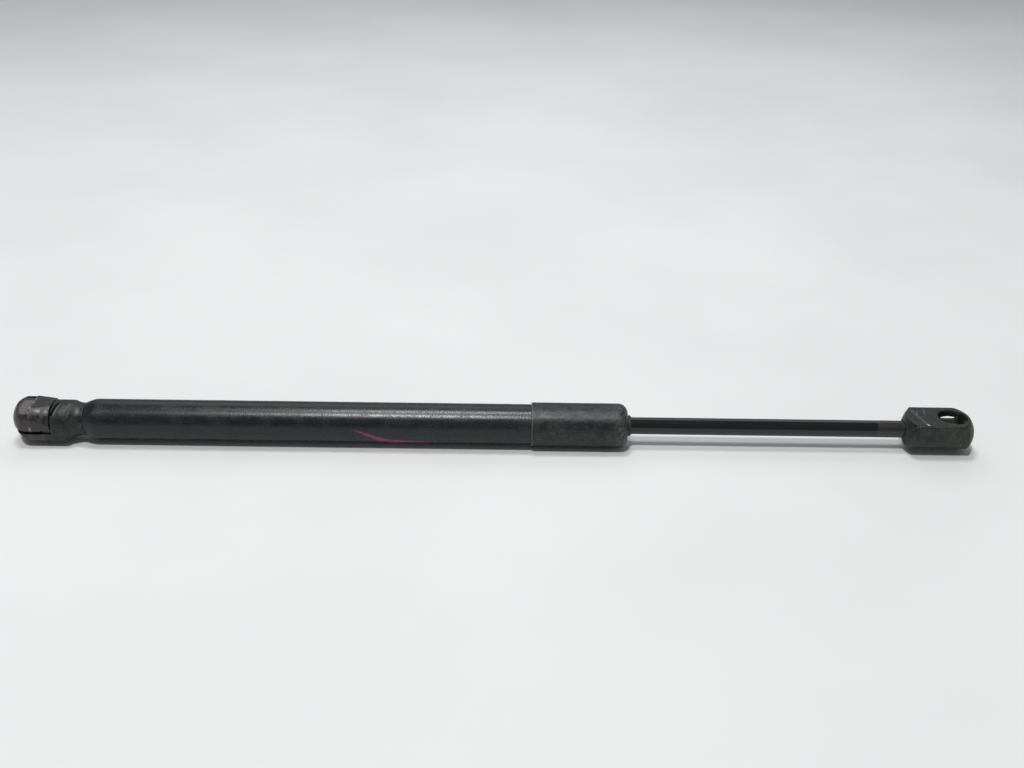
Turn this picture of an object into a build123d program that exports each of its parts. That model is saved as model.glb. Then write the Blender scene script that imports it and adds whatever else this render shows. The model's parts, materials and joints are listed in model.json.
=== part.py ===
"""Gas strut stay: a sealed pressure tube, a sliding rod with a damping piston, and two ball sockets.

The strut lies along X. The origin is the centre of the ball that the tube-end socket takes,
+X runs to the rod end and +Z is up. The tube-end socket opens downwards and the rod-end socket
opens upwards. The model is drawn fully extended. All sizes are in millimetres.
"""
import os

from build123d import *

os.makedirs("parts", exist_ok=True)

# ---- driving dimensions -------------------------------------------------------------------
BALL_SPACING = 428.0        # ball centre to ball centre, fully extended
TUBE_R = 9.5                # 19 mm pressure tube
TUBE_WALL = 1.2
ROD_R = 4.0                 # 8 mm piston rod
THREAD_R = 3.95             # M8 threads, drawn as plain shanks
FIT = 0.05                  # radial gap between pieces that are pressed or screwed together
RUNNING = 0.03              # radial gap where a piece slides or turns on another

# ---- ball sockets -------------------------------------------------------------------------
BODY_R = 9.8                # round back of the socket body
BODY_OFFSET = 1.0           # the round back's centre lies this far towards the mouth
MOUTH = 7.0                 # mouth face, from the ball centre
MOUTH_R = 6.8
BALL_SEAT_R = 5.05          # wall that guides the 10 mm ball at its equator
SEAT_DEPTH = 1.2            # the guiding wall runs this far behind the ball centre
SEAT_RISE = 0.8             # and this far in front of it
NOSE_BACK = 2.9             # the nose is turned about an axis this far behind the ball centre
NOSE_R = 13.3
NOSE_MOUTH_R = 10.5
NOSE_BACK_R = 8.2
EDGE = 1.2
THREAD_DEPTH = 12.6
TIP_GAP = 0.6               # each threaded end stops this short of the bottom of its hole
TIP_CHAMFER = 0.8
HALF_ROOT = 0.5 ** 0.5      # the sine of 45 degrees, for the middle of an arc

# ---- tube end -----------------------------------------------------------------------------
SEAM = 23.1                 # the tube-end socket butts against the tube here
SHOULDER = 4.4              # length over which the tube is rolled in
SHOULDER_R = 7.8
TUBE_END = 274.0
TUBE_BORE_R = TUBE_R - TUBE_WALL
PLUG_END = 36.0
PLUG_NECK_R = 6.5           # the plug's end, seen through the rolled-in mouth of the tube
PLUG_GROOVE_R = 6.4
ROLLED_R = 6.6
LIP_R = 5.2                 # the tube's far edge is rolled in to this radius
LIP_T = 1.2
BEAD_HALF = 1.5             # the rolled bead that locates the seal package
BEAD_DEPTH = 0.7
RIM_GAP = 0.05              # end gap between stacked pieces

# ---- retaining clip -----------------------------------------------------------------------
BAND_START = -0.6
BAND_END = 8.3
BAND_R = 11.2               # the band tapers from this, beside the nose
BAND_NECK_R = 10.1          # to this, beside the neck
BAND_DROP = 0.6             # its axis lies this far below the strut's
HOOD_R = 11.8
HOOD_AT = (1.1, 0, 0.7)     # centre of the domed hood over the nose
HOOD_BARREL_R = 10.9        # the hood is no rounder than this about the band's axis
HOOD_SIDE = BODY_R - 0.1    # its flat sides lie just inside the band's
HOOD_TOP = 8.5
CLIP_GAP = 0.3
CLIP_LIFT = 1.5             # how far the clip springs up to let the ball in
CLIP_SIDE = BODY_R + 0.2    # flat sides of the clip
CLIP_BOTTOM = -1.5
HOOK_Z = -3.1
HOOK_T = 0.8
HOOK_REACH = 4.3            # the hooks end this far from the ball's upright axis
LEG_T = 0.8
LEG_HALF = 3.9
GROOVE_BOTTOM = -3.2        # floor of the groove that the clip sits in
CORE_R = 8.7                # the socket's back is slimmer where the clip covers it
CORE_X = 8.7
CORE_DOME_R = 10.4
CORE_NOSE_R = NOSE_R - 1.4
WINDOW_GAP = 0.2
SLOT_HALF = 4.5
SLOT_LOW = 1.0              # clip slot in the rod-end socket, which has lost its clip
SLOT_HIGH = 3.7

# ---- dust sleeve and rod-end seals ----------------------------------------------------------
SLEEVE_START = 231.3
SLEEVE_END = 276.3
SLEEVE_R = 10.4
SLEEVE_EDGE = 0.25
SLEEVE_HOLE_R = 5.7
CORNER = 4.4
FACE_T = 1.6
HUB_R = 4.85
HUB_END = 278.0
NECK_FACE = 405.4           # the rod-end socket starts here
BEAD_X = 254.6
WIPER_R = 7.0
BUSH_R = 5.0
GUIDE_LENGTH = 8.0
GUIDE_GROOVE_R = 6.8
SEAL_LENGTH = 5.4
O_RING_W = 1.9

# ---- piston, drawn at the extended stop ------------------------------------------------------
ROD_SHOULDER = 242.4
PISTON_R = 8.15
RING_GROOVE_R = 6.5
TENON_R = 2.75
TENON_LENGTH = 17.2
STOP_T = 1.2
STOP_GROOVE_R = 3.3
STOP_RING_R = 5.4
UPPER_T = 1.2
PISTON_T = 8.2
DISC_T = 0.8
LOWER_T = 1.2
NUT_T = 5.0
NUT_FLAT = 5.0              # half the width across the nut's flats
RING_W = 3.2
RING_GAP = 0.1
PORT_RING_R = 4.6           # the gas passages lie on this circle
PORT_R = 0.8
ORIFICE_R = 0.35
LOWER_PORT_R = 0.9
CUT = 40.0                  # size of the blocks used only to cut with


def finish(piece, name):
    """Label one finished piece and write it."""
    piece.part.label = name
    export_step(piece.part, f"parts/{name}.step")


def ring(x0, x1, inner, outer):
    """A plain ring about the strut axis, from x0 to x1."""
    with BuildPart() as made:
        with BuildSketch(Plane.YZ.offset(x0)):
            Circle(outer)
            Circle(inner, mode=Mode.SUBTRACT)
        extrude(amount=x1 - x0)
    return made


def turned(points):
    """A piece turned about the strut axis from an outline of (x, radius) corners."""
    with BuildPart() as made:
        with BuildSketch(Plane.XY):
            with BuildLine():
                Polyline(*points, close=True)
            make_face()
        revolve(axis=Axis.X)
    return made


def socket_blank(ball_x, nose, mouth, neck_x, neck_profile):
    """The outside of a ball socket.

    nose is +1 or -1 along X and mouth is +1 or -1 along Z. neck_profile lists the (distance
    from the neck face, radius) corners that the neck is turned to.
    """
    length = abs(ball_x - neck_x)
    far = length + 20
    # a round back with straight sides up to the flat mouth face
    with BuildPart() as body:
        with BuildSketch(Plane.YZ.offset(neck_x)) as section:
            with Locations((0, mouth * BODY_OFFSET)):
                Circle(BODY_R)
            side = MOUTH - BODY_OFFSET
            with Locations((0, mouth * (BODY_OFFSET + side / 2))):
                Rectangle(2 * BODY_R, side)
            with Locations((0, mouth * (MOUTH + 10))):
                Rectangle(CUT, 20, mode=Mode.SUBTRACT)
            level = section.vertices().group_by(Axis.Y)[-1 if mouth > 0 else 0]
            corners = level.sort_by(Axis.X)
            fillet([corners[0], corners[-1]], EDGE)
        extrude(amount=nose * far)
    # the nose, turned about an upright axis
    with BuildPart(mode=Mode.PRIVATE) as nose_shape:
        axis_x = ball_x - nose * NOSE_BACK
        with BuildSketch(Plane.XZ):
            with BuildLine():
                back = (axis_x + nose * NOSE_BACK_R, -mouth * (BODY_R + 0.5))
                tip = (axis_x + nose * NOSE_R, -mouth * 1.0)
                face = (axis_x + nose * NOSE_MOUTH_R, mouth * (MOUTH + 0.01))
                ThreePointArc(back, tip, face)
                Polyline(face, (axis_x, face[1]), (axis_x, back[1]), back)
            make_face()
        revolve(axis=Axis((axis_x, 0, 0), (0, 0, 1)))
        with Locations((axis_x - nose * far / 2, 0, 0)):
            Box(far, CUT, CUT)
    # the neck, turned about the strut axis
    with BuildPart(mode=Mode.PRIVATE) as neck_shape:
        with BuildSketch(Plane.XY):
            with BuildLine():
                rim = [(neck_x + nose * d, r) for d, r in neck_profile]
                Spline(*rim)
                last = rim[-1]
                Polyline(last, (last[0], 15), (neck_x + nose * far, 15), (neck_x + nose * far, 0),
                         (neck_x, 0), rim[0])
            make_face()
        revolve(axis=Axis.X)
    return body.part & nose_shape.part & neck_shape.part


def ball_cavity(ball_x, mouth):
    """The seat, guiding wall and lead-in for the ball, turned about the ball's upright axis."""
    deep_r = (BALL_SEAT_R ** 2 + SEAT_DEPTH ** 2) ** 0.5
    with BuildPart() as made:
        with BuildSketch(Plane.XZ):
            with BuildLine():
                ThreePointArc((ball_x, -mouth * deep_r),
                              (ball_x + deep_r * HALF_ROOT, -mouth * deep_r * HALF_ROOT),
                              (ball_x + BALL_SEAT_R, -mouth * SEAT_DEPTH))
                Polyline((ball_x + BALL_SEAT_R, -mouth * SEAT_DEPTH),
                         (ball_x + BALL_SEAT_R, mouth * SEAT_RISE),
                         (ball_x + MOUTH_R, mouth * MOUTH),
                         (ball_x + MOUTH_R, mouth * (MOUTH + 2)),
                         (ball_x, mouth * (MOUTH + 2)),
                         (ball_x, -mouth * deep_r))
            make_face()
        revolve(axis=Axis((ball_x, 0, 0), (0, 0, 1)))
    return made.part


# ---- pressure tube and its closed end -------------------------------------------------------
with BuildPart() as pressure_tube:
    with BuildSketch(Plane.XY):
        with BuildLine():
            Spline((SEAM, SHOULDER_R), (SEAM + SHOULDER / 2, TUBE_R - 0.9), (SEAM + SHOULDER, TUBE_R),
                   tangents=((0.6, 1), (1, 0)))
            Polyline((SEAM + SHOULDER, TUBE_R), (BEAD_X - BEAD_HALF, TUBE_R), (BEAD_X, TUBE_R - BEAD_DEPTH),
                     (BEAD_X + BEAD_HALF, TUBE_R), (TUBE_END - LIP_T, TUBE_R), (TUBE_END, TUBE_R - LIP_T),
                     (TUBE_END, LIP_R), (TUBE_END - LIP_T, LIP_R), (TUBE_END - LIP_T, TUBE_BORE_R),
                     (BEAD_X + BEAD_HALF, TUBE_BORE_R), (BEAD_X, TUBE_BORE_R - BEAD_DEPTH),
                     (BEAD_X - BEAD_HALF, TUBE_BORE_R), (SEAM + SHOULDER, TUBE_BORE_R),
                     (SEAM + 1.4, ROLLED_R), (SEAM, ROLLED_R), (SEAM, SHOULDER_R))
        make_face()
    revolve(axis=Axis.X)
finish(pressure_tube, "pressure_tube")

# the end plug carries the threaded stud that the tube-end socket is screwed onto
O_RING_X = SEAM + 9.2
STUD_TIP = SEAM - THREAD_DEPTH + TIP_GAP
PLUG_R = TUBE_BORE_R - FIT
PLUG_GROOVE_END = O_RING_X + O_RING_W + 0.3
end_plug = turned([(STUD_TIP, 0), (STUD_TIP, THREAD_R - TIP_CHAMFER), (STUD_TIP + TIP_CHAMFER, THREAD_R),
                   (SEAM, THREAD_R), (SEAM, PLUG_NECK_R), (SEAM + 1.5, PLUG_NECK_R),
                   (SEAM + SHOULDER + 0.2, PLUG_R), (O_RING_X, PLUG_R), (O_RING_X, PLUG_GROOVE_R),
                   (PLUG_GROOVE_END, PLUG_GROOVE_R), (PLUG_GROOVE_END, PLUG_R), (PLUG_END, PLUG_R),
                   (PLUG_END, 0)])
finish(end_plug, "end_plug")

end_plug_o_ring = ring(O_RING_X + 0.15, O_RING_X + 0.15 + O_RING_W, PLUG_GROOVE_R + FIT, PLUG_R)
finish(end_plug_o_ring, "end_plug_o_ring")

# ---- tube-end ball socket, mouth down ---------------------------------------------------------
TUBE_SOCKET_NECK = [(0.0, SHOULDER_R), (1.8, SHOULDER_R - 0.15), (4.2, SHOULDER_R + 0.5), (6.6, 9.6),
                    (8.6, 13.2)]
tube_blank = socket_blank(0, -1, -1, SEAM, TUBE_SOCKET_NECK)


def dome(radius):
    """A ball about the hood's centre, with everything towards the tube filled in."""
    with BuildPart() as made:
        with Locations(HOOD_AT):
            Sphere(radius)
        with Locations((18, 0, 0)):
            Box(CUT, CUT, CUT)
    return made


core_dome = dome(CORE_DOME_R)

# the part of the socket that the clip covers, with straight upright sides
with BuildPart() as clip_core:
    with BuildSketch(Plane.YZ.offset(-NOSE_R)):
        with Locations((0, -BODY_OFFSET)):
            Circle(CORE_R)
        with Locations((0, -6)):
            Rectangle(2 * CORE_R, 10)
    extrude(amount=NOSE_R + CORE_X)
    with BuildSketch(Plane.XY.offset(-12)):
        with Locations((NOSE_BACK, 0)):
            Circle(CORE_NOSE_R)
        with Locations((NOSE_BACK + 10, 0)):
            Rectangle(20, CUT)
    extrude(amount=24, mode=Mode.INTERSECT)
    add(core_dome.part, mode=Mode.INTERSECT)

# everything above the groove and ahead of the collar is cut back to the core
with BuildPart() as clip_room:
    with Locations((CORE_X - 15, 0, GROOVE_BOTTOM + 10)):
        Box(30, CUT, 20)
clip_room_ring = clip_room.part - clip_core.part

with BuildPart() as hook_windows:
    window_low = HOOK_Z - WINDOW_GAP
    window_high = HOOK_Z + HOOK_T + CLIP_LIFT + WINDOW_GAP
    with Locations((0, 0, (window_low + window_high) / 2)):
        Box(2 * (LEG_HALF + FIT) + WINDOW_GAP * 2.5, CUT, window_high - window_low)

tube_cavity = ball_cavity(0, -1)
with BuildPart() as tube_end_socket:
    add(tube_blank)
    add(clip_room_ring, mode=Mode.SUBTRACT)
    add(tube_cavity, mode=Mode.SUBTRACT)
    add(hook_windows.part, mode=Mode.SUBTRACT)
    with BuildSketch(Plane.YZ.offset(SEAM)):
        Circle(THREAD_R + FIT)
    extrude(amount=-THREAD_DEPTH, mode=Mode.SUBTRACT)
finish(tube_end_socket, "tube_end_socket")

# ---- spring-steel retaining clip over the closed back of the tube-end socket --------------------
band_cone = turned([(BAND_START, 0), (BAND_START, BAND_R), (BAND_END, BAND_NECK_R), (BAND_END, 0)])
with BuildPart() as clip_band:
    add(Pos(0, 0, -BAND_DROP) * band_cone.part)
    with Locations((0, 0, HOOD_TOP + 0.3 - CUT / 2)):
        Box(CUT, 2 * CLIP_SIDE, CUT, mode=Mode.INTERSECT)
    with Locations((0, 0, CLIP_BOTTOM + CUT / 2)):
        Box(CUT, CUT, CUT, mode=Mode.INTERSECT)

with BuildPart() as clip_hood:
    with Locations(HOOD_AT):
        Sphere(HOOD_R)
    with Locations((0, 0, -BAND_DROP)):
        Cylinder(HOOD_BARREL_R, CUT, rotation=(0, 90, 0), mode=Mode.INTERSECT)
    with Locations((BAND_START + 0.5 - 15, 0, HOOD_TOP - 10)):
        Box(30, 2 * HOOD_SIDE, 20, mode=Mode.INTERSECT)
    with Locations((0, 0, CLIP_BOTTOM + 20)):
        Box(CUT, CUT, 40, mode=Mode.INTERSECT)

# the room inside the clip: the core with its gap, open downwards so that the clip can lift
roomy_dome = dome(CORE_DOME_R + CLIP_GAP)
with BuildPart() as clip_inside:
    with BuildSketch(Plane.YZ.offset(-NOSE_R - 1)):
        with Locations((0, -BODY_OFFSET)):
            Circle(CORE_R + CLIP_GAP)
        with Locations((0, -6)):
            Rectangle(2 * (CORE_R + CLIP_GAP), 10)
    extrude(amount=30)
    with BuildSketch(Plane.XY.offset(-12)):
        with Locations((NOSE_BACK, 0)):
            Circle(CORE_NOSE_R + CLIP_GAP)
        with Locations((NOSE_BACK + 10, 0)):
            Rectangle(20, CUT)
    extrude(amount=24, mode=Mode.INTERSECT)
    add(roomy_dome.part, mode=Mode.INTERSECT)

with BuildPart() as tube_socket_clip:
    add(clip_band.part)
    add(clip_hood.part)
    add(clip_inside.part, mode=Mode.SUBTRACT)
    for side in (-1, 1):
        leg_height = CLIP_BOTTOM + 1 - HOOK_Z
        hook_root = CORE_R + LEG_T
        with Locations((0, side * (CORE_R + CLIP_GAP + LEG_T / 2), HOOK_Z + leg_height / 2)):
            Box(2 * LEG_HALF, LEG_T, leg_height)
        with Locations((0, side * (HOOK_REACH + hook_root) / 2, HOOK_Z + HOOK_T / 2)):
            Box(2 * LEG_HALF, hook_root - HOOK_REACH, HOOK_T)
finish(tube_socket_clip, "tube_socket_clip")

# ---- rod-end ball socket, mouth up --------------------------------------------------------------
ROD_SOCKET_NECK = [(0, 4.7), (0.5, 5.6), (1.6, 7.6), (3.4, 10.0), (5.6, 13.2)]
rod_blank = socket_blank(BALL_SPACING, 1, 1, NECK_FACE, ROD_SOCKET_NECK)
rod_cavity = ball_cavity(BALL_SPACING, 1)
with BuildPart() as rod_end_socket:
    add(rod_blank)
    add(rod_cavity, mode=Mode.SUBTRACT)
    # the open clip slot through the far wall
    with Locations((BALL_SPACING, 7.5, (SLOT_LOW + SLOT_HIGH) / 2)):
        Box(2 * SLOT_HALF, 15, SLOT_HIGH - SLOT_LOW, mode=Mode.SUBTRACT)
    with BuildSketch(Plane.YZ.offset(NECK_FACE)):
        Circle(THREAD_R + FIT)
    extrude(amount=THREAD_DEPTH, mode=Mode.SUBTRACT)
finish(rod_end_socket, "rod_end_socket")

# ---- dust sleeve over the open end of the tube ---------------------------------------------------
SLEEVE_FACE = SLEEVE_END - FACE_T
with BuildPart() as dust_sleeve:
    with BuildSketch(Plane.XY):
        with BuildLine():
            Polyline((SLEEVE_END, SLEEVE_HOLE_R), (SLEEVE_FACE, SLEEVE_HOLE_R),
                     (SLEEVE_FACE, TUBE_R - FACE_T), (SLEEVE_FACE - 0.4, TUBE_R + FIT), (SLEEVE_START, TUBE_R + FIT),
                     (SLEEVE_START, SLEEVE_R - SLEEVE_EDGE), (SLEEVE_START + SLEEVE_EDGE, SLEEVE_R),
                     (SLEEVE_END - CORNER, SLEEVE_R))
            ThreePointArc((SLEEVE_END - CORNER, SLEEVE_R),
                          (SLEEVE_END - CORNER * (1 - HALF_ROOT), SLEEVE_R - CORNER * (1 - HALF_ROOT)),
                          (SLEEVE_END, SLEEVE_R - CORNER))
            Line((SLEEVE_END, SLEEVE_R - CORNER), (SLEEVE_END, SLEEVE_HOLE_R))
        make_face()
    revolve(axis=Axis.X)
finish(dust_sleeve, "dust_sleeve")

WIPER_START = TUBE_END + RIM_GAP
WIPER_NECK_R = SLEEVE_HOLE_R - FIT
rod_wiper = turned([(WIPER_START, ROD_R + 0.3), (WIPER_START, WIPER_R), (SLEEVE_FACE, WIPER_R),
                    (SLEEVE_FACE, WIPER_NECK_R), (SLEEVE_END, WIPER_NECK_R), (SLEEVE_END, HUB_R),
                    (HUB_END - 0.5, HUB_R), (HUB_END, HUB_R - 0.5), (HUB_END, ROD_R + RUNNING),
                    (HUB_END - 1.0, ROD_R + RUNNING), (HUB_END - 1.4, ROD_R + 0.3)])
finish(rod_wiper, "rod_wiper")

# ---- guide and seal package at the open end of the tube -------------------------------------------
GUIDE_END = TUBE_END - LIP_T - RIM_GAP
GUIDE_START = GUIDE_END - GUIDE_LENGTH
SEAL_START = GUIDE_START - SEAL_LENGTH
WASHER_START = BEAD_X + BEAD_HALF + 0.1
GROOVE_X = GUIDE_START + 3.0
GROOVE_END = GROOVE_X + 2.0
rod_guide = turned([(GUIDE_START, BUSH_R + FIT), (GUIDE_START, PLUG_R), (GROOVE_X, PLUG_R),
                    (GROOVE_X, GUIDE_GROOVE_R), (GROOVE_END, GUIDE_GROOVE_R), (GROOVE_END, PLUG_R),
                    (GUIDE_END, PLUG_R), (GUIDE_END, BUSH_R + FIT)])
finish(rod_guide, "rod_guide")
guide_bush = ring(GUIDE_START, GUIDE_END, ROD_R + RUNNING, BUSH_R)
finish(guide_bush, "guide_bush")
guide_o_ring = ring(GROOVE_X + 0.15, GROOVE_END - 0.15, GUIDE_GROOVE_R + FIT, PLUG_R)
finish(guide_o_ring, "guide_o_ring")

LIP = ROD_R + RUNNING
SEAL_END = GUIDE_START - RIM_GAP
SEAL_BORE_R = 4.7
BACKING_R = 4.4
rod_seal = turned([(SEAL_START, 5.4), (SEAL_START, PLUG_R), (SEAL_END, PLUG_R), (SEAL_END, LIP),
                   (GUIDE_START - 0.9, LIP), (GUIDE_START - 1.5, SEAL_BORE_R),
                   (GUIDE_START - 3.6, SEAL_BORE_R), (GUIDE_START - 4.6, LIP), (SEAL_START, LIP),
                   (SEAL_START, BACKING_R), (SEAL_START + 2.2, 5.0)])
finish(rod_seal, "rod_seal")

seal_washer = ring(WASHER_START, SEAL_START - RIM_GAP, BACKING_R, PLUG_R)
finish(seal_washer, "seal_washer")

# ---- piston rod --------------------------------------------------------------------------------
TENON_END = ROD_SHOULDER - TENON_LENGTH
ROD_TIP = NECK_FACE + THREAD_DEPTH - TIP_GAP
STOP_X = ROD_SHOULDER + 3.0
STOP_END = STOP_X + STOP_T + RING_GAP
piston_rod = turned([(TENON_END, 0), (TENON_END, TENON_R - 0.5), (TENON_END + 0.5, TENON_R),
                     (ROD_SHOULDER, TENON_R), (ROD_SHOULDER, ROD_R), (STOP_X, ROD_R),
                     (STOP_X, STOP_GROOVE_R), (STOP_END, STOP_GROOVE_R), (STOP_END, ROD_R),
                     (NECK_FACE, ROD_R), (NECK_FACE, THREAD_R), (ROD_TIP - TIP_CHAMFER, THREAD_R),
                     (ROD_TIP, THREAD_R - TIP_CHAMFER), (ROD_TIP, 0)])
finish(piston_rod, "piston_rod")

# a snap ring in the rod's groove, and the rubber ring that meets the seal washer at full extension
with BuildPart() as rod_stop_ring:
    with BuildSketch(Plane.YZ.offset(STOP_X + RIM_GAP)):
        Circle(STOP_RING_R)
        Circle(STOP_GROOVE_R + FIT, mode=Mode.SUBTRACT)
        with Locations((0, 5)):
            Rectangle(2.4, 10, mode=Mode.SUBTRACT)
    extrude(amount=STOP_T)
finish(rod_stop_ring, "rod_stop_ring")

BUFFER_START = STOP_END + RING_GAP
rebound_buffer = ring(BUFFER_START, BEAD_X + 0.8, ROD_R + FIT, 6.6)
finish(rebound_buffer, "rebound_buffer")

# ---- damping piston on the rod's tenon -------------------------------------------------------------
UPPER_X = ROD_SHOULDER - UPPER_T
PISTON_X = UPPER_X - PISTON_T
DISC_X = PISTON_X - DISC_T
LOWER_X = DISC_X - LOWER_T
NUT_X = LOWER_X - NUT_T

piston_upper_washer = ring(UPPER_X, ROD_SHOULDER, TENON_R + FIT, 7.4)
finish(piston_upper_washer, "piston_upper_washer")

RING_X = PISTON_X + 2.4
RING_LOW = RING_X - RING_GAP
RING_HIGH = RING_X + RING_W + RING_GAP
piston_blank = turned([(PISTON_X, TENON_R + FIT), (PISTON_X, PISTON_R), (RING_LOW, PISTON_R),
                       (RING_LOW, RING_GROOVE_R), (RING_HIGH, RING_GROOVE_R), (RING_HIGH, PISTON_R),
                       (UPPER_X, PISTON_R), (UPPER_X, TENON_R + FIT)])
with BuildPart() as piston:
    add(piston_blank.part)
    # gas passages through the piston
    with BuildSketch(Plane.YZ.offset(PISTON_X)):
        with PolarLocations(PORT_RING_R, 4):
            Circle(PORT_R)
    extrude(amount=PISTON_T, mode=Mode.SUBTRACT)
finish(piston, "piston")

piston_ring = ring(RING_X, RING_X + RING_W, RING_GROOVE_R + RING_GAP, TUBE_BORE_R - RUNNING)
finish(piston_ring, "piston_ring")

with BuildPart() as orifice_disc:
    with BuildSketch(Plane.YZ.offset(DISC_X)):
        Circle(7.0)
        Circle(TENON_R + FIT, mode=Mode.SUBTRACT)
        with PolarLocations(PORT_RING_R, 2):
            Circle(ORIFICE_R, mode=Mode.SUBTRACT)
    extrude(amount=DISC_T)
finish(orifice_disc, "orifice_disc")

with BuildPart() as piston_lower_washer:
    with BuildSketch(Plane.YZ.offset(LOWER_X)):
        Circle(6.8)
        Circle(TENON_R + FIT, mode=Mode.SUBTRACT)
        with PolarLocations(PORT_RING_R, 2):
            Circle(LOWER_PORT_R, mode=Mode.SUBTRACT)
    extrude(amount=LOWER_T)
finish(piston_lower_washer, "piston_lower_washer")

with BuildPart() as piston_nut:
    with BuildSketch(Plane.YZ.offset(NUT_X)):
        RegularPolygon(NUT_FLAT, 6, major_radius=False)
        Circle(TENON_R + FIT, mode=Mode.SUBTRACT)
    extrude(amount=NUT_T)
finish(piston_nut, "piston_nut")
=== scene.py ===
"""Looks of the gas strut stay: worn black paint, dusty moulded sockets and a polished black rod.

Everything is in metres, in the row frame: X runs along the strut to the rod end, +Z is up.
"""
import json
import math

import bmesh
import bpy
from mathutils import Matrix, Vector, noise


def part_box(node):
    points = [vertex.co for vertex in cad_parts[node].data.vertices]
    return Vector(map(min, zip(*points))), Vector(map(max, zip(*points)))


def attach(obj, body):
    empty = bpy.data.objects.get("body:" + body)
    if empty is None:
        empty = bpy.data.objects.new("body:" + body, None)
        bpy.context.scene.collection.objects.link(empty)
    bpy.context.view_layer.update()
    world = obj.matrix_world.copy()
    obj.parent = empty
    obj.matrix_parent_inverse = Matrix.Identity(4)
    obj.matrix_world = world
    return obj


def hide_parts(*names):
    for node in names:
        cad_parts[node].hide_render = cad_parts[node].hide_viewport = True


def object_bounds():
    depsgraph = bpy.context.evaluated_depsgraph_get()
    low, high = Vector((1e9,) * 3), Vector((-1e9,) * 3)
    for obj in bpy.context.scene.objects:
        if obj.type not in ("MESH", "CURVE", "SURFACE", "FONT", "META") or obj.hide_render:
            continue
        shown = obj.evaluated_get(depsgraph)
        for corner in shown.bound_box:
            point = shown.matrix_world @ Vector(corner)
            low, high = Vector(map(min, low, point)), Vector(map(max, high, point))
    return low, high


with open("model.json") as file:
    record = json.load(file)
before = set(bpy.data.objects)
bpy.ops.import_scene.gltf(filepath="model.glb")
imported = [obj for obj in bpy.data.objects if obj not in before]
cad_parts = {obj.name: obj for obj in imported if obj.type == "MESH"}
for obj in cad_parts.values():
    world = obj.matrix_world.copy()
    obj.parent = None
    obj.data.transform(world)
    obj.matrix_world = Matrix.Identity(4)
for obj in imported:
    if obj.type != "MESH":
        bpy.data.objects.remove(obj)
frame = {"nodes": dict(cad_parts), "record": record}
cad_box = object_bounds()

MM = 0.001


# ---- places read from the frame -----------------------------------------------------------
tube_low, tube_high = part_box("pressure_tube")
sleeve_low, sleeve_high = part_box("dust_sleeve")
clip_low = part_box("tube_socket_clip")[0]

TUBE_R = tube_high[2]
SLEEVE_R = sleeve_high[2]
mounts = {m["name"]: m for m in frame["record"]["mounts"]}
ROD_BALL_X = mounts["rod_ball_socket"]["pos_m"][0]

# ---- sizes of the detailed pieces -----------------------------------------------------------
TUBE_WALL = 1.2 * MM
SHOULDER = 4.4 * MM                  # length over which the tube is rolled in
ROLLED_R = 6.6 * MM                  # mouth of the rolled-in end
TUBE_LIP_R = 5.2 * MM                # the other end is rolled in to this radius
SLEEVE_CORNER = 4.4 * MM
SLEEVE_HOLE_R = 5.7 * MM
SLEEVE_FACE = 1.6 * MM
SOCKET_VOXEL = 0.25 * MM
CLIP_VOXEL = 0.16 * MM

# ---- places of marks, in millimetres --------------------------------------------------------
BAND_X = -0.6                        # the clip's band starts here, beside its hood
LEG_TOP = 1.45                       # the clip's legs reach this far above its lowest place
ROD_WORN_X = 393.6                   # the rod is matt from here to its socket


# ---- meshes -------------------------------------------------------------------------------
def new_object(name, mesh):
    """A new object in the scene, shaded smooth."""
    obj = bpy.data.objects.new(name, mesh)
    bpy.context.scene.collection.objects.link(obj)
    for polygon in mesh.polygons:
        polygon.use_smooth = True
    return obj


def rounded(points, steps=6):
    """An outline of (x, radius, corner rounding) points, with each corner turned into an arc."""
    out = []
    count = len(points)
    for i, (x, r, soft) in enumerate(points):
        here = Vector((x, r))
        if soft <= 0 or i in (0, count - 1):
            out.append(here)
            continue
        before = Vector(points[i - 1][:2])
        after = Vector(points[i + 1][:2])
        soft = min(soft, (before - here).length * 0.45, (after - here).length * 0.45)
        start = here + (before - here).normalized() * soft
        end = here + (after - here).normalized() * soft
        for k in range(steps + 1):
            t = k / steps
            out.append(start * (1 - t) ** 2 + here * 2 * t * (1 - t) + end * t ** 2)
    return out


def divided(outline, longest):
    """The outline with its long straight runs cut up."""
    out = [outline[0]]
    for a, b in zip(outline, outline[1:]):
        n = max(1, math.ceil((b - a).length / longest))
        out += [a.lerp(b, k / n) for k in range(1, n + 1)]
    return out


def turned(name, points, longest=3 * MM, around=144, shape=None):
    """A closed piece turned about the strut axis. shape(x, angle, radius) may change each radius."""
    outline = divided(rounded(points), longest)
    bm = bmesh.new()
    rings = []
    for p in outline:
        row = []
        for k in range(around):
            angle = math.tau * k / around
            r = shape(p.x, angle, p.y) if shape else p.y
            row.append(bm.verts.new((p.x, r * math.cos(angle), r * math.sin(angle))))
        rings.append(row)
    for first, second in zip(rings, rings[1:] + rings[:1]):
        for k in range(around):
            n = (k + 1) % around
            bm.faces.new((first[k], second[k], second[n], first[n]))
    bmesh.ops.recalc_face_normals(bm, faces=bm.faces)
    mesh = bpy.data.meshes.new(name)
    bm.to_mesh(mesh)
    bm.free()
    return new_object(name, mesh)


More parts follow.
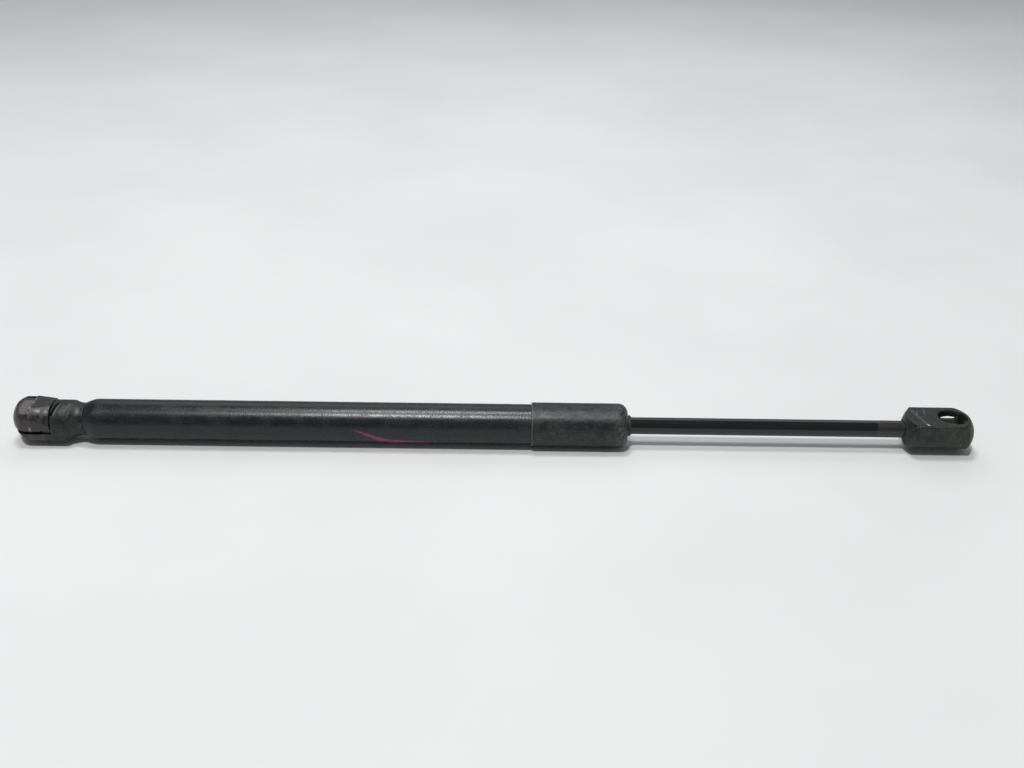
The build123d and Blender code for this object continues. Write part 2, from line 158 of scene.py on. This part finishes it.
def softened(name, node, voxel, smooth, shape=None):
    """The CAD node's own shape with its sharp edges worn round, as a moulding or pressing has."""
    mesh = frame["nodes"][node].data.copy()
    obj = new_object(name, mesh)
    for modifier_type, settings in (
            ("WELD", {"merge_threshold": 1e-6}),
            ("REMESH", {"mode": "VOXEL", "voxel_size": voxel, "adaptivity": 0.0}),
            ("SMOOTH", {"factor": 0.5, "iterations": smooth})):
        modifier = obj.modifiers.new(modifier_type.lower(), modifier_type)
        for key, value in settings.items():
            setattr(modifier, key, value)
    evaluated = obj.evaluated_get(bpy.context.evaluated_depsgraph_get())
    final = bpy.data.meshes.new_from_object(evaluated)
    obj.modifiers.clear()
    obj.data = final
    if shape:
        places = [shape(vertex.co.copy(), vertex.normal.copy()) for vertex in final.vertices]
        final.vertices.foreach_set("co", [value for place in places for value in place])
        final.update()
    for polygon in final.polygons:
        polygon.use_smooth = True
    final.materials.clear()
    return obj


def place(obj, body, slot, *nodes):
    """The piece rides on a body and stands for its CAD nodes; the slot is not used."""
    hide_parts(*nodes)
    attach(obj, body)
    return obj


# ---- materials ----------------------------------------------------------------------------
class Material:
    """A procedural material built up in node layers, in millimetres of the object's own space."""

    def __init__(self, name):
        self.material = bpy.data.materials.new(name)
        self.material.use_nodes = True
        self.nodes = self.material.node_tree.nodes
        self.links = self.material.node_tree.links
        self.shader = self.nodes["Principled BSDF"]
        place_node = self.nodes.new("ShaderNodeTexCoord")
        scale = self.nodes.new("ShaderNodeVectorMath")
        scale.operation = "SCALE"
        scale.inputs["Scale"].default_value = 1000
        self.links.new(place_node.outputs["Object"], scale.inputs[0])
        self.mm = scale.outputs[0]
        split = self.nodes.new("ShaderNodeSeparateXYZ")
        self.links.new(self.mm, split.inputs[0])
        self.x, self.y, self.z = split.outputs

    def stretched(self, sx, sy, sz):
        """Coordinates squeezed per axis, so that a noise runs long or short that way."""
        node = self.nodes.new("ShaderNodeVectorMath")
        node.operation = "MULTIPLY"
        node.inputs[1].default_value = (sx, sy, sz)
        self.links.new(self.mm, node.inputs[0])
        return node.outputs[0]

    def noise(self, scale, detail=4.0, rough=0.55, stretch=None, distortion=0.0):
        node = self.nodes.new("ShaderNodeTexNoise")
        node.inputs["Scale"].default_value = scale
        node.inputs["Detail"].default_value = detail
        node.inputs["Roughness"].default_value = rough
        node.inputs["Distortion"].default_value = distortion
        self.links.new(self.stretched(*stretch) if stretch else self.mm, node.inputs["Vector"])
        return node.outputs["Fac"]

    def ramp(self, value, low, high, to_low=0.0, to_high=1.0):
        node = self.nodes.new("ShaderNodeMapRange")
        node.interpolation_type = "SMOOTHSTEP"
        self.links.new(value, node.inputs["Value"])
        for key, number in (("From Min", low), ("From Max", high), ("To Min", to_low), ("To Max", to_high)):
            node.inputs[key].default_value = number
        return node.outputs["Result"]

    def math(self, operation, a, b=None):
        node = self.nodes.new("ShaderNodeMath")
        node.operation = operation
        for socket, value in zip(node.inputs, (a, b)):
            if value is None:
                continue
            if isinstance(value, (int, float)):
                socket.default_value = value
            else:
                self.links.new(value, socket)
        return node.outputs[0]

    def colour(self, mask, low, high):
        """A colour that goes from low to high with the mask. Either may be a colour or a socket."""
        node = self.nodes.new("ShaderNodeMix")
        node.data_type = "RGBA"
        self.links.new(mask, node.inputs["Factor"])
        sockets = [s for s in node.inputs if s.type == "RGBA"]
        for socket, value in zip(sockets, (low, high)):
            if isinstance(value, tuple):
                socket.default_value = (*value, 1)
            else:
                self.links.new(value, socket)
        return [s for s in node.outputs if s.type == "RGBA"][0]

    def vector(self, operation, a, b):
        """A vector operation whose second operand is a plain triple or a socket."""
        node = self.nodes.new("ShaderNodeVectorMath")
        node.operation = operation
        self.links.new(a, node.inputs[0])
        if isinstance(b, tuple):
            node.inputs[1].default_value = b
        else:
            self.links.new(b, node.inputs[1])
        return node

    def stroke(self, start, end, width, ragged=0.25):
        """1 along a straight mark on the upper side, from start to end in (x, y) as seen from above."""
        flat = self.vector("MULTIPLY", self.mm, (1, 1, 0)).outputs[0]
        from_start = self.vector("SUBTRACT", flat, (*start, 0)).outputs[0]
        run = (end[0] - start[0], end[1] - start[1], 0)
        squared = run[0] ** 2 + run[1] ** 2
        dot = self.vector("DOT_PRODUCT", from_start, run).outputs["Value"]
        along = self.math("MULTIPLY", dot, 1 / squared)
        along = self.math("MAXIMUM", self.math("MINIMUM", along, 1), 0)
        reach = self.nodes.new("ShaderNodeVectorMath")
        reach.operation = "SCALE"
        reach.inputs[0].default_value = run
        self.links.new(along, reach.inputs["Scale"])
        away = self.vector("DISTANCE", from_start, reach.outputs[0]).outputs["Value"]
        rough = self.math("MULTIPLY", self.math("SUBTRACT", self.noise(1.6, 3, 0.6), 0.5), ragged * 4)
        near = self.ramp(self.math("ADD", away, rough), width * 0.5, width, 1.0, 0.0)
        return self.math("MULTIPLY", near, self.ramp(self.z, 1.5, 2.5))

    def edges(self, low, high):
        """1 on worn convex edges."""
        geometry = self.nodes.new("ShaderNodeNewGeometry")
        return self.ramp(geometry.outputs["Pointiness"], low, high)

    def finish(self, colour, roughness, height=None, bump=0.1, distance=0.05 * MM, shine=None, **fixed):
        self.links.new(colour, self.shader.inputs["Base Color"])
        self.links.new(roughness, self.shader.inputs["Roughness"])
        if height is not None:
            node = self.nodes.new("ShaderNodeBump")
            node.inputs["Strength"].default_value = bump
            node.inputs["Distance"].default_value = distance
            self.links.new(height, node.inputs["Height"])
            self.links.new(node.outputs["Normal"], self.shader.inputs["Normal"])
        if shine is not None:
            self.links.new(shine, self.shader.inputs["Specular IOR Level"])
        for key, value in fixed.items():
            self.shader.inputs[key.replace("_", " ")].default_value = value
        return self.material


def tube_paint():
    """Satin black paint on the tube, with lengthwise rub marks, specks, dust and one pink scuff."""
    m = Material("worn_tube_paint")
    cloud = m.noise(0.10, 5, 0.6)
    fine = m.noise(2.2, 4, 0.65)
    rub = m.noise(1.0, 3, 0.7, (0.10, 1.6, 1.6))
    scratch = m.ramp(m.noise(1.0, 3, 0.5, (0.22, 5.0, 5.0), 0.4), 0.66, 0.72)
    speck = m.ramp(m.noise(1.5, 3, 0.55), 0.66, 0.74)
    ripple = m.noise(0.8, 3, 0.6, (1.0, 0.7, 0.7))
    dust = m.math("MULTIPLY", m.ramp(cloud, 0.42, 0.66), m.ramp(fine, 0.36, 0.66, 0.15, 1.0))
    grime = m.math("MULTIPLY", m.ramp(m.z, -7.5, -3.0, 1.0, 0.0), m.ramp(m.noise(0.30, 5, 0.65), 0.42, 0.62))
    paint = m.colour(m.ramp(rub, 0.3, 0.7), (0.0030, 0.0062, 0.0072), (0.0080, 0.0130, 0.0145))
    paint = m.colour(m.math("MULTIPLY", dust, 0.17), paint, (0.085, 0.080, 0.070))
    paint = m.colour(m.math("MULTIPLY", grime, 0.30), paint, (0.060, 0.040, 0.032))
    paint = m.colour(m.math("MULTIPLY", scratch, 0.30), paint, (0.13, 0.13, 0.125))
    paint = m.colour(m.math("MULTIPLY", speck, 0.45), paint, (0.13, 0.12, 0.105))
    paint = m.colour(pink_scuff(m), paint, (0.33, 0.035, 0.155))
    worn = m.math("ADD", m.math("MULTIPLY", dust, 0.5), m.math("MULTIPLY", m.ramp(fine, 0.3, 0.7), 0.5))
    roughness = m.ramp(worn, 0.0, 1.0, 0.23, 0.50)
    height = m.math("ADD", m.math("MULTIPLY", fine, 0.7), m.math("MULTIPLY", ripple, 1.2))
    return m.finish(paint, roughness, height, 0.45, 0.06 * MM, Specular_IOR_Level=0.40)


def pink_scuff(m):
    """A streaky rub of pink on the tube's near side, starting fine and running down to the right."""
    start, widest, end = 147.0, 164.0, 188.0
    centre = m.ramp(m.x, start, widest + 4, 1.0, -6.0)
    half = m.math("MULTIPLY", m.ramp(m.x, start, widest, 0.15, 1.5), m.ramp(m.x, widest, end, 1.0, 0.15))
    away = m.math("ABSOLUTE", m.math("SUBTRACT", m.z, centre))
    ragged = m.noise(1.0, 4, 0.7, (0.25, 0.0, 2.2))
    inside = m.math("SUBTRACT", half, m.math("ADD", away, m.math("MULTIPLY", ragged, 0.9)))
    band = m.ramp(inside, -0.7, -0.1)
    along = m.math("MULTIPLY", m.ramp(m.x, start, start + 3), m.ramp(m.x, end - 6, end, 1.0, 0.0))
    near_side = m.ramp(m.y, -5.5, -5.0, 1.0, 0.0)
    streaks = m.ramp(m.noise(1.0, 3, 0.6, (0.12, 0.0, 3.0)), 0.36, 0.56)
    mask = m.math("MULTIPLY", m.math("MULTIPLY", band, along), m.math("MULTIPLY", near_side, streaks))
    return m.math("MULTIPLY", mask, 0.9)


def moulded(name, base, pale, dust_colour, dust_amount, rough=(0.36, 0.60), dirt_and_painted_light=None, wear=0.25, marks=()):
    """Moulded black plastic: mottled, with fine grain, dust in patches, flecks and paler worn edges.

    marks lists (start, end, width, colour, strength) strokes on the upper side.
    """
    m = Material(name)
    cloud = m.noise(0.26, 6, 0.68)
    fine = m.noise(1.7, 5, 0.65)
    lumps = m.noise(0.55, 4, 0.6)
    grain = m.noise(8.0, 2, 0.5)
    scratch = m.ramp(m.noise(1.0, 3, 0.5, (0.7, 4.0, 4.0), 0.8), 0.66, 0.71)
    fleck = m.ramp(m.noise(0.62, 7, 0.72), 0.60, 0.66)
    dust = m.math("MULTIPLY", m.ramp(cloud, 0.40, 0.66), m.ramp(fine, 0.32, 0.68, 0.25, 1.0))
    colour = m.colour(m.ramp(fine, 0.30, 0.70), base, pale)
    colour = m.colour(m.math("MULTIPLY", dust, dust_amount), colour, dust_colour)
    if dirt_and_painted_light:
        colour = dirt_and_painted_light(m, colour)
    colour = m.colour(m.math("MULTIPLY", fleck, 0.14), colour, (0.16, 0.175, 0.165))
    colour = m.colour(m.math("MULTIPLY", m.edges(0.51, 0.56), wear), colour, (0.15, 0.155, 0.15))
    colour = m.colour(m.math("MULTIPLY", scratch, 0.40), colour, (0.17, 0.175, 0.165))
    height = m.math("ADD", m.math("MULTIPLY", grain, 0.30), m.math("MULTIPLY", fine, 0.90))
    height = m.math("ADD", height, m.math("MULTIPLY", lumps, 1.6))
    groove_shade = 0.0
    # Near-black strokes are painted groove shade, dented and without shine.
    for start, end, width, tint, strength in marks:
        mark = m.math("MULTIPLY", m.stroke(start, end, width), strength)
        dark = max(tint) < 0.05
        colour = m.colour(mark, colour, tint)
        height = m.math("ADD", height, m.math("MULTIPLY", mark, -2.5 if dark else 1.0))
        groove_shade = m.math("MAXIMUM", groove_shade, mark) if dark else groove_shade
    roughness = m.ramp(m.math("ADD", dust, m.math("MULTIPLY", fine, 0.5)), 0.0, 1.2, *rough)
    shine = m.math("MULTIPLY", m.math("SUBTRACT", 1.0, groove_shade), m.ramp(lumps, 0.32, 0.68, 0.32, 0.52))
    return m.finish(colour, roughness, height, 0.38, 0.12 * MM, shine)


def mouth_dirt_and_shade(m, colour):
    """Dried olive-brown grime round the rod-end socket's mouth, and painted shade inside the mouth."""
    patch = m.noise(0.45, 5, 0.68)
    ball = ROD_BALL_X / MM
    zone = m.math("MULTIPLY", m.ramp(m.x, ball - 10.0, ball - 4.0), m.ramp(m.z, -4.0, 2.5, 0.35, 1.0))
    mask = m.math("MULTIPLY", zone, m.ramp(patch, 0.40, 0.60))
    colour = m.colour(m.math("MULTIPLY", mask, 0.72), colour, (0.036, 0.036, 0.022))
    # Painted shade: the inside of the mouth is painted near black.
    rim_x = m.math("SUBTRACT", m.x, ball)
    out = m.math("SQRT", m.math("ADD", m.math("MULTIPLY", rim_x, rim_x), m.math("MULTIPLY", m.y, m.y)))
    inside = m.math("MULTIPLY", m.ramp(out, 6.4, 6.9, 1.0, 0.0), m.ramp(m.z, 5.4, 6.4, 1.0, 0.0))
    return m.colour(m.math("MULTIPLY", inside, 0.85), colour, (0.0035, 0.0035, 0.0025))


def sleeve_rub_and_edge_highlight(m, colour):
    """The sleeve's rounded end is rubbed pale, and a painted highlight runs as a thin pale line round its
    open edge.
    """
    end = sleeve_high[0] / MM
    start = sleeve_low[0] / MM
    patch = m.noise(0.8, 6, 0.72)
    rub = m.math("MULTIPLY", m.ramp(m.x, end - 9.0, end - 3.0), m.ramp(patch, 0.46, 0.56))
    # Painted highlight: the thin pale line round the sleeve's open edge.
    line = m.math("MULTIPLY", m.ramp(m.x, start + 0.2, start + 0.9, 1.0, 0.0), m.ramp(patch, 0.35, 0.55))
    colour = m.colour(m.math("MULTIPLY", rub, 0.42), colour, (0.130, 0.140, 0.130))
    return m.colour(m.math("MULTIPLY", line, 0.45), colour, (0.16, 0.165, 0.155))


def rim_dirt(m, colour):
    """Pale brownish dust along the tube-end socket's rim, below its clip."""
    zone = m.math("MULTIPLY", m.ramp(m.z, -3.6, -3.0, 1.0, 0.0), m.ramp(m.x, 3.0, 9.0, 1.0, 0.0))
    return m.colour(m.math("MULTIPLY", zone, m.ramp(m.noise(0.6, 4, 0.65), 0.35, 0.6, 0.2, 0.6)),
                    colour, (0.085, 0.072, 0.058))


def clip_steel():
    """Black coated spring steel, scuffed at its edges, with a pale patch on its hood that is part dust and
    part painted reflection, a painted shadow in the slit by the hood and painted shade over its legs.
    """
    m = Material("coated_clip_steel")
    fine = m.noise(1.9, 5, 0.65)
    upright = m.noise(1.0, 4, 0.65, (2.6, 0.25, 0.25))
    bare = m.math("MULTIPLY", m.edges(0.515, 0.57), m.ramp(fine, 0.46, 0.58))
    rub = m.math("MULTIPLY", m.ramp(m.x, BAND_X - 0.5, BAND_X - 0.1),
                 m.ramp(m.x, BAND_X + 0.1, BAND_X + 0.9, 1.0, 0.0))
    rub = m.math("MULTIPLY", rub, m.ramp(m.noise(0.55, 4, 0.7), 0.46, 0.60))
    dust = m.ramp(m.noise(0.40, 5, 0.6), 0.44, 0.64)
    nose = m.ramp(m.x, BAND_X - 0.6, BAND_X, 1.0, 0.0)
    # Pale patch on the hood's upward face: dust together with a painted reflection of the bright surround.
    patch = m.math("MULTIPLY", m.ramp(m.z, 6.0, 6.8), m.ramp(m.x, -6.4, -4.6))
    hood_dust_and_sheen = m.math("MULTIPLY", nose, patch)
    across = m.math("MULTIPLY", m.ramp(m.y, -8.4, -7.8), m.ramp(m.y, 1.6, 2.2, 1.0, 0.0))
    hood_dust_and_sheen = m.math("MULTIPLY", hood_dust_and_sheen, across)
    side = m.math("MULTIPLY", nose, m.ramp(m.z, 3.0, 6.5, 1.0, 0.0))
    colour = m.colour(m.ramp(upright, 0.35, 0.65), (0.0075, 0.0075, 0.0095), (0.026, 0.025, 0.029))
    colour = m.colour(m.math("MULTIPLY", dust, 0.26), colour, (0.080, 0.074, 0.072))
    colour = m.colour(m.math("MULTIPLY", side, m.ramp(upright, 0.42, 0.60, 0.10, 0.50)),
                      colour, (0.075, 0.050, 0.038))
    colour = m.colour(m.math("MULTIPLY", hood_dust_and_sheen, m.ramp(fine, 0.30, 0.62, 0.30, 0.70)),
                      colour, (0.185, 0.170, 0.150))
    colour = m.colour(m.math("MULTIPLY", bare, 0.60), colour, (0.50, 0.49, 0.46))
    colour = m.colour(m.math("MULTIPLY", rub, 0.62), colour, (0.50, 0.48, 0.45))
    # Painted shadow: a near-black stroke on the hood's far side stands for the shadow in the slit beside it;
    # it also dents the bump and takes the shine away.
    shaded_slit = m.stroke((-5.6, 4.9), (-0.9, 4.4), 0.55, 0.1)
    colour = m.colour(m.math("MULTIPLY", shaded_slit, 0.9), colour, (0.002, 0.002, 0.002))
    # Painted shade: below the legs' upper edge the clip is near black and without shine, so the opening along
    # its lower edge reads as a shadowed slit.
    leg_top = clip_low[2] / MM + LEG_TOP
    legs = m.ramp(m.z, leg_top - 0.1, leg_top + 0.1, 1.0, 0.0)
    colour = m.colour(m.math("MULTIPLY", legs, 0.96), colour, (0.003, 0.003, 0.003))
    roughness = m.ramp(m.math("ADD", dust, m.math("MULTIPLY", upright, 0.4)), 0.0, 1.3, 0.28, 0.55)
    height = m.math("ADD", m.math("MULTIPLY", fine, 0.8), m.math("MULTIPLY", shaded_slit, -2.0))
    shine = m.math("MULTIPLY", m.math("SUBTRACT", 1.0, m.math("MAXIMUM", legs, shaded_slit)), 0.5)
    return m.finish(colour, roughness, height, 0.38, 0.08 * MM, shine)


def rod_polish():
    """Polished black rod: long fine draw marks, and a matt run near the rod-end socket."""
    m = Material("polished_black_rod")
    draw = m.noise(1.0, 3, 0.6, (0.03, 6.0, 6.0))
    cloud = m.noise(0.12, 4, 0.6)
    matt = m.ramp(m.x, ROD_WORN_X - 0.2, ROD_WORN_X + 0.2)
    line = m.math("MULTIPLY", m.ramp(m.x, ROD_WORN_X - 0.7, ROD_WORN_X - 0.4),
                  m.ramp(m.x, ROD_WORN_X - 0.1, ROD_WORN_X + 0.2, 1.0, 0.0))
    colour = m.colour(m.ramp(draw, 0.3, 0.7), (0.0030, 0.0033, 0.0036), (0.0080, 0.0083, 0.0090))
    colour = m.colour(m.math("MULTIPLY", matt, 0.5), colour, (0.030, 0.027, 0.025))
    colour = m.colour(m.math("MULTIPLY", line, 0.18), colour, (0.16, 0.15, 0.14))
    roughness = m.math("ADD", m.ramp(draw, 0.2, 0.8, 0.10, 0.17),
                       m.math("MULTIPLY", matt, m.ramp(cloud, 0.3, 0.7, 0.14, 0.24)))
    return m.finish(colour, roughness, draw, 0.03, 0.02 * MM, Specular_IOR_Level=0.55)


def plain_metal(name, light, dark, rough, metallic=1.0):
    """Turned or plated metal for the pieces inside."""
    m = Material(name)
    turn = m.noise(1.0, 3, 0.6, (6.0, 0.4, 0.4))
    stain = m.noise(0.5, 4, 0.6)
    colour = m.colour(m.ramp(turn, 0.3, 0.7), dark, light)
    colour = m.colour(m.math("MULTIPLY", m.ramp(stain, 0.5, 0.75), 0.3), colour, (0.20, 0.17, 0.13))
    return m.finish(colour, m.ramp(stain, 0.3, 0.7, rough - 0.06, rough + 0.08), turn, 0.12, 0.02 * MM,
                    Metallic=metallic)


def soft_rubber(name, base=(0.012, 0.012, 0.012), pale=(0.03, 0.03, 0.028)):
    """Rubber with a fine bloom."""
    m = Material(name)
    bloom = m.noise(1.2, 5, 0.62)
    grain = m.noise(7.0, 2, 0.5)
    return m.finish(m.colour(m.ramp(bloom, 0.35, 0.7), base, pale), m.ramp(bloom, 0.3, 0.7, 0.55, 0.75),
                    grain, 0.2, 0.04 * MM)


# ---- visible pieces -----------------------------------------------------------------------
def tube_shape(x, angle, radius):
    """The drawn tube is very slightly uneven."""
    if radius < TUBE_R * 0.9:
        return radius
    wave = noise.noise(Vector((x * 55, math.cos(angle) * 0.8, math.sin(angle) * 0.8)))
    return radius - (0.012 + 0.012 * wave) * MM


def make_tube():
    x0, x1 = tube_low[0], tube_high[0]
    bore = TUBE_R - TUBE_WALL
    lip = x1 - TUBE_WALL
    return turned("tube_shell", [
        (x0, ROLLED_R, 0), (x0, 7.8 * MM, 0.5 * MM), (x0 + 1.7 * MM, 8.55 * MM, 0.8 * MM),
        (x0 + SHOULDER, TUBE_R, 1.6 * MM), (lip, TUBE_R, 0.6 * MM), (x1, bore, 0.6 * MM),
        (x1, TUBE_LIP_R, 0.2 * MM), (lip, TUBE_LIP_R, 0), (lip, bore, 0.3 * MM),
        (x0 + SHOULDER, bore, 1 * MM), (x0 + 1.4 * MM, ROLLED_R, 0)], 2.5 * MM, 128, tube_shape)


def sleeve_shape(x, angle, radius):
    """The sleeve is a little out of round and lumpy, as soft moulded plastic gets."""
    if radius < SLEEVE_R * 0.6:
        return radius
    wave = noise.noise(Vector((x * 90, math.cos(angle) * 1.4, math.sin(angle) * 1.4)))
    return radius - (0.05 + 0.05 * wave) * MM


def make_sleeve():
    x0, x1 = sleeve_low[0], sleeve_high[0]
    face = x1 - SLEEVE_FACE
    inner = TUBE_R + 0.05 * MM
    round_x = x1 - SLEEVE_CORNER
    corner = [(round_x + SLEEVE_CORNER * math.sin(a), SLEEVE_R - SLEEVE_CORNER * (1 - math.cos(a)), 0)
              for a in [math.radians(9 * k) for k in range(11)]]
    return turned("sleeve_shell", [
        (x0, inner, 0), (x0, SLEEVE_R, 0.35 * MM), *corner,
        (x1, SLEEVE_HOLE_R, 0.1 * MM), (face, SLEEVE_HOLE_R, 0),
        (face, TUBE_R - 1.6 * MM, 0.2 * MM), (face - 0.4 * MM, inner, 0.2 * MM)], 1.2 * MM, 144, sleeve_shape)


def worn(amount, scale):
    """Small moulding unevenness and nicks, pushed inwards only."""
    def shape(co, normal):
        wave = noise.noise(co / MM * scale)
        return co - normal * amount * (0.5 + 0.5 * wave)
    return shape


place(make_tube(), "cylinder", "tube_paint", "pressure_tube")
place(make_sleeve(), "cylinder", "sleeve_plastic", "dust_sleeve")
place(softened("tube_socket_moulding", "tube_end_socket", SOCKET_VOXEL, 12, worn(0.08 * MM, 0.35)),
      "cylinder", "socket_plastic", "tube_end_socket")
place(softened("socket_clip_pressing", "tube_socket_clip", CLIP_VOXEL, 16, worn(0.05 * MM, 0.4)),
      "clip", "clip_steel", "tube_socket_clip")
place(softened("rod_socket_moulding", "rod_end_socket", SOCKET_VOXEL, 16, worn(0.08 * MM, 0.35)),
      "rod", "socket_plastic", "rod_end_socket")


def paint(material, *names):
    """Gives pieces or CAD nodes their material."""
    for name in names:
        obj = bpy.data.objects.get(name) or frame["nodes"][name]
        obj.data.materials.clear()
        obj.data.materials.append(material)


DARK = (0.002, 0.002, 0.002)
PALE_STROKE = (0.19, 0.19, 0.18)
BRIGHT = (0.55, 0.55, 0.53)
# Painted shade and highlights on the tube-end socket's collar: the near-black stroke is painted shade in a
# groove, and the pale strokes are painted highlights beside that groove, on the collar's edge and on its
# flare.
TUBE_SOCKET_MARKS = [
    ((9.3, -6.9), (11.2, -1.0), 0.75, DARK, 0.95),
    ((10.3, -7.0), (12.3, -1.6), 0.45, PALE_STROKE, 0.40),
    ((13.2, -6.2), (14.4, -2.4), 0.40, PALE_STROKE, 0.35),
    ((14.8, -5.4), (16.8, -2.2), 1.2, PALE_STROKE, 0.22)]
BALL_MM = ROD_BALL_X / MM
ROD_SOCKET_MARKS = [
    ((BALL_MM - 18.0, 5.6), (BALL_MM - 14.2, -6.6), 0.75, PALE_STROKE, 0.26),
    ((BALL_MM - 13.9, -7.4), (BALL_MM - 13.6, -8.2), 0.60, BRIGHT, 0.8),
    ((BALL_MM - 16.6, 1.5), (BALL_MM - 15.4, 5.0), 0.50, PALE_STROKE, 0.25),
    ((BALL_MM - 12.6, 2.5), (BALL_MM - 11.8, 6.0), 0.60, PALE_STROKE, 0.25)]

paint(tube_paint(), "tube_shell")
paint(moulded("dusty_sleeve_plastic", (0.0035, 0.0070, 0.0075), (0.0090, 0.0140, 0.0140),
              (0.060, 0.070, 0.064), 0.40, (0.32, 0.54), dirt_and_painted_light=sleeve_rub_and_edge_highlight, wear=0.5), "sleeve_shell")
paint(moulded("socket_nylon", (0.004, 0.0055, 0.0060), (0.011, 0.0135, 0.0140), (0.070, 0.068, 0.066),
              0.34, wear=0.4, dirt_and_painted_light=rim_dirt, marks=TUBE_SOCKET_MARKS), "tube_socket_moulding")
paint(moulded("dirty_socket_nylon", (0.004, 0.0065, 0.0065), (0.012, 0.0165, 0.0155),
              (0.070, 0.075, 0.066), 0.34, dirt_and_painted_light=mouth_dirt_and_shade, wear=0.4, marks=ROD_SOCKET_MARKS),
      "rod_socket_moulding")
paint(clip_steel(), "socket_clip_pressing")
paint(rod_polish(), "piston_rod")
paint(soft_rubber("wiper_rubber_worn"), "rod_wiper")
paint(soft_rubber("seal_nitrile"), "rod_seal", "end_plug_o_ring", "guide_o_ring", "rebound_buffer")
paint(plain_metal("zinc_plate", (0.62, 0.61, 0.56), (0.46, 0.46, 0.43), 0.34),
      "end_plug", "seal_washer", "rod_stop_ring", "piston_upper_washer", "piston_lower_washer",
      "piston_nut", "orifice_disc")
paint(plain_metal("turned_steel", (0.55, 0.55, 0.55), (0.38, 0.38, 0.39), 0.28), "rod_guide")
paint(plain_metal("bush_bronze_worn", (0.55, 0.38, 0.19), (0.40, 0.27, 0.13), 0.36), "guide_bush")
paint(plain_metal("cast_alloy", (0.68, 0.68, 0.70), (0.52, 0.52, 0.54), 0.42), "piston")
paint(soft_rubber("ring_ptfe", (0.62, 0.60, 0.55), (0.75, 0.73, 0.68)), "piston_ring")


# ---- floor, light and camera ----------------------------------------------------------------
FLOOR_R = 6.0
FLOOR_GAP = 0.02 * MM
WORLD_COLOUR = (0.93, 0.97, 1.0, 1)
WORLD_STRENGTH = 0.225


def make_floor():
    """A large pale floor that the strut rests on."""
    bm = bmesh.new()
    bmesh.ops.create_circle(bm, cap_ends=True, segments=96, radius=FLOOR_R)
    mesh = bpy.data.meshes.new("floor")
    bm.to_mesh(mesh)
    bm.free()
    floor = new_object("floor", mesh)
    floor.location.z = cad_box[0][2] - FLOOR_GAP
    m = Material("pale_floor")
    tone = m.noise(0.006, 3, 0.5)
    colour = m.colour(m.ramp(tone, 0.3, 0.7), (0.72, 0.725, 0.73), (0.76, 0.765, 0.77))
    floor.data.materials.append(m.finish(colour, m.ramp(tone, 0.3, 0.7, 0.75, 0.85)))


def area_light(name, where, aim, size, power, colour=(1, 1, 1), height=None):
    """A rectangular soft light at a place, aimed at a point."""
    data = bpy.data.lights.new(name, "AREA")
    data.shape = "RECTANGLE"
    data.size = size
    data.size_y = height or size
    data.energy = power
    data.color = colour
    light = bpy.data.objects.new(name, data)
    light.location = where
    light.rotation_euler = (Vector(aim) - Vector(where)).to_track_quat("-Z", "Y").to_euler()
    bpy.context.scene.collection.objects.link(light)


MIDDLE = Vector(((cad_box[0][0] + cad_box[1][0]) / 2, 0, 0))
VIEW_UP = math.radians(30.0)         # the line of sight comes down at this angle
FOCAL = 1200.0                       # in pixels of a 1024-pixel-wide frame
IMAGE_W = 1024.0
SCALE = 2.13 / MM                    # pixels per metre at the strut
SIDESTEP = 8.2 * MM                  # the camera looks at a place this far past the middle
SENSOR = 36.0
DROP = 40.1                          # the strut sits this many pixels below the middle of the frame
ROLL = math.radians(0.74)


def make_camera():
    """A camera at the front, looking down on the strut."""
    distance = FOCAL / SCALE
    data = bpy.data.cameras.new("camera")
    data.sensor_width = SENSOR
    data.lens = FOCAL / IMAGE_W * SENSOR
    data.clip_start = 0.01
    camera = bpy.data.objects.new("camera", data)
    target = Vector((MIDDLE.x + SIDESTEP, 0, 0))
    camera.location = target + distance * Vector((0, -math.cos(VIEW_UP), math.sin(VIEW_UP)))
    pitch = VIEW_UP - math.atan(DROP / FOCAL)
    turn = Matrix.Rotation(math.pi / 2 - pitch, 4, "X") @ Matrix.Rotation(ROLL, 4, "Z")
    camera.rotation_euler = turn.to_euler()
    bpy.context.scene.collection.objects.link(camera)
    bpy.context.scene.camera = camera


def make_light():
    """A soft light overhead, a firm one for the short shadow, a dim one behind and a pale surround."""
    scene = bpy.context.scene
    scene.view_settings.view_transform = "Standard"
    world = bpy.data.worlds.new("surround")
    world.use_nodes = True
    background = world.node_tree.nodes["Background"]
    background.inputs["Color"].default_value = WORLD_COLOUR
    background.inputs["Strength"].default_value = WORLD_STRENGTH
    scene.world = world
    over = Vector((0.10, 0.09, 1.3))
    area_light("overhead", over, Vector((0.17, 0, 0)), 0.36, 6.4, (1.0, 1.0, 1.0), 0.26)
    key = MIDDLE + Vector((-0.25, -0.80, 2.1))
    area_light("key", key, MIDDLE, 0.20, 25.0, (1.0, 0.99, 0.97))
    behind = MIDDLE + Vector((0, 0.78, 0.78))
    area_light("behind", behind, MIDDLE, 1.2, 2.3, (0.97, 0.99, 1.0), 0.60)


make_floor()
make_light()
make_camera()
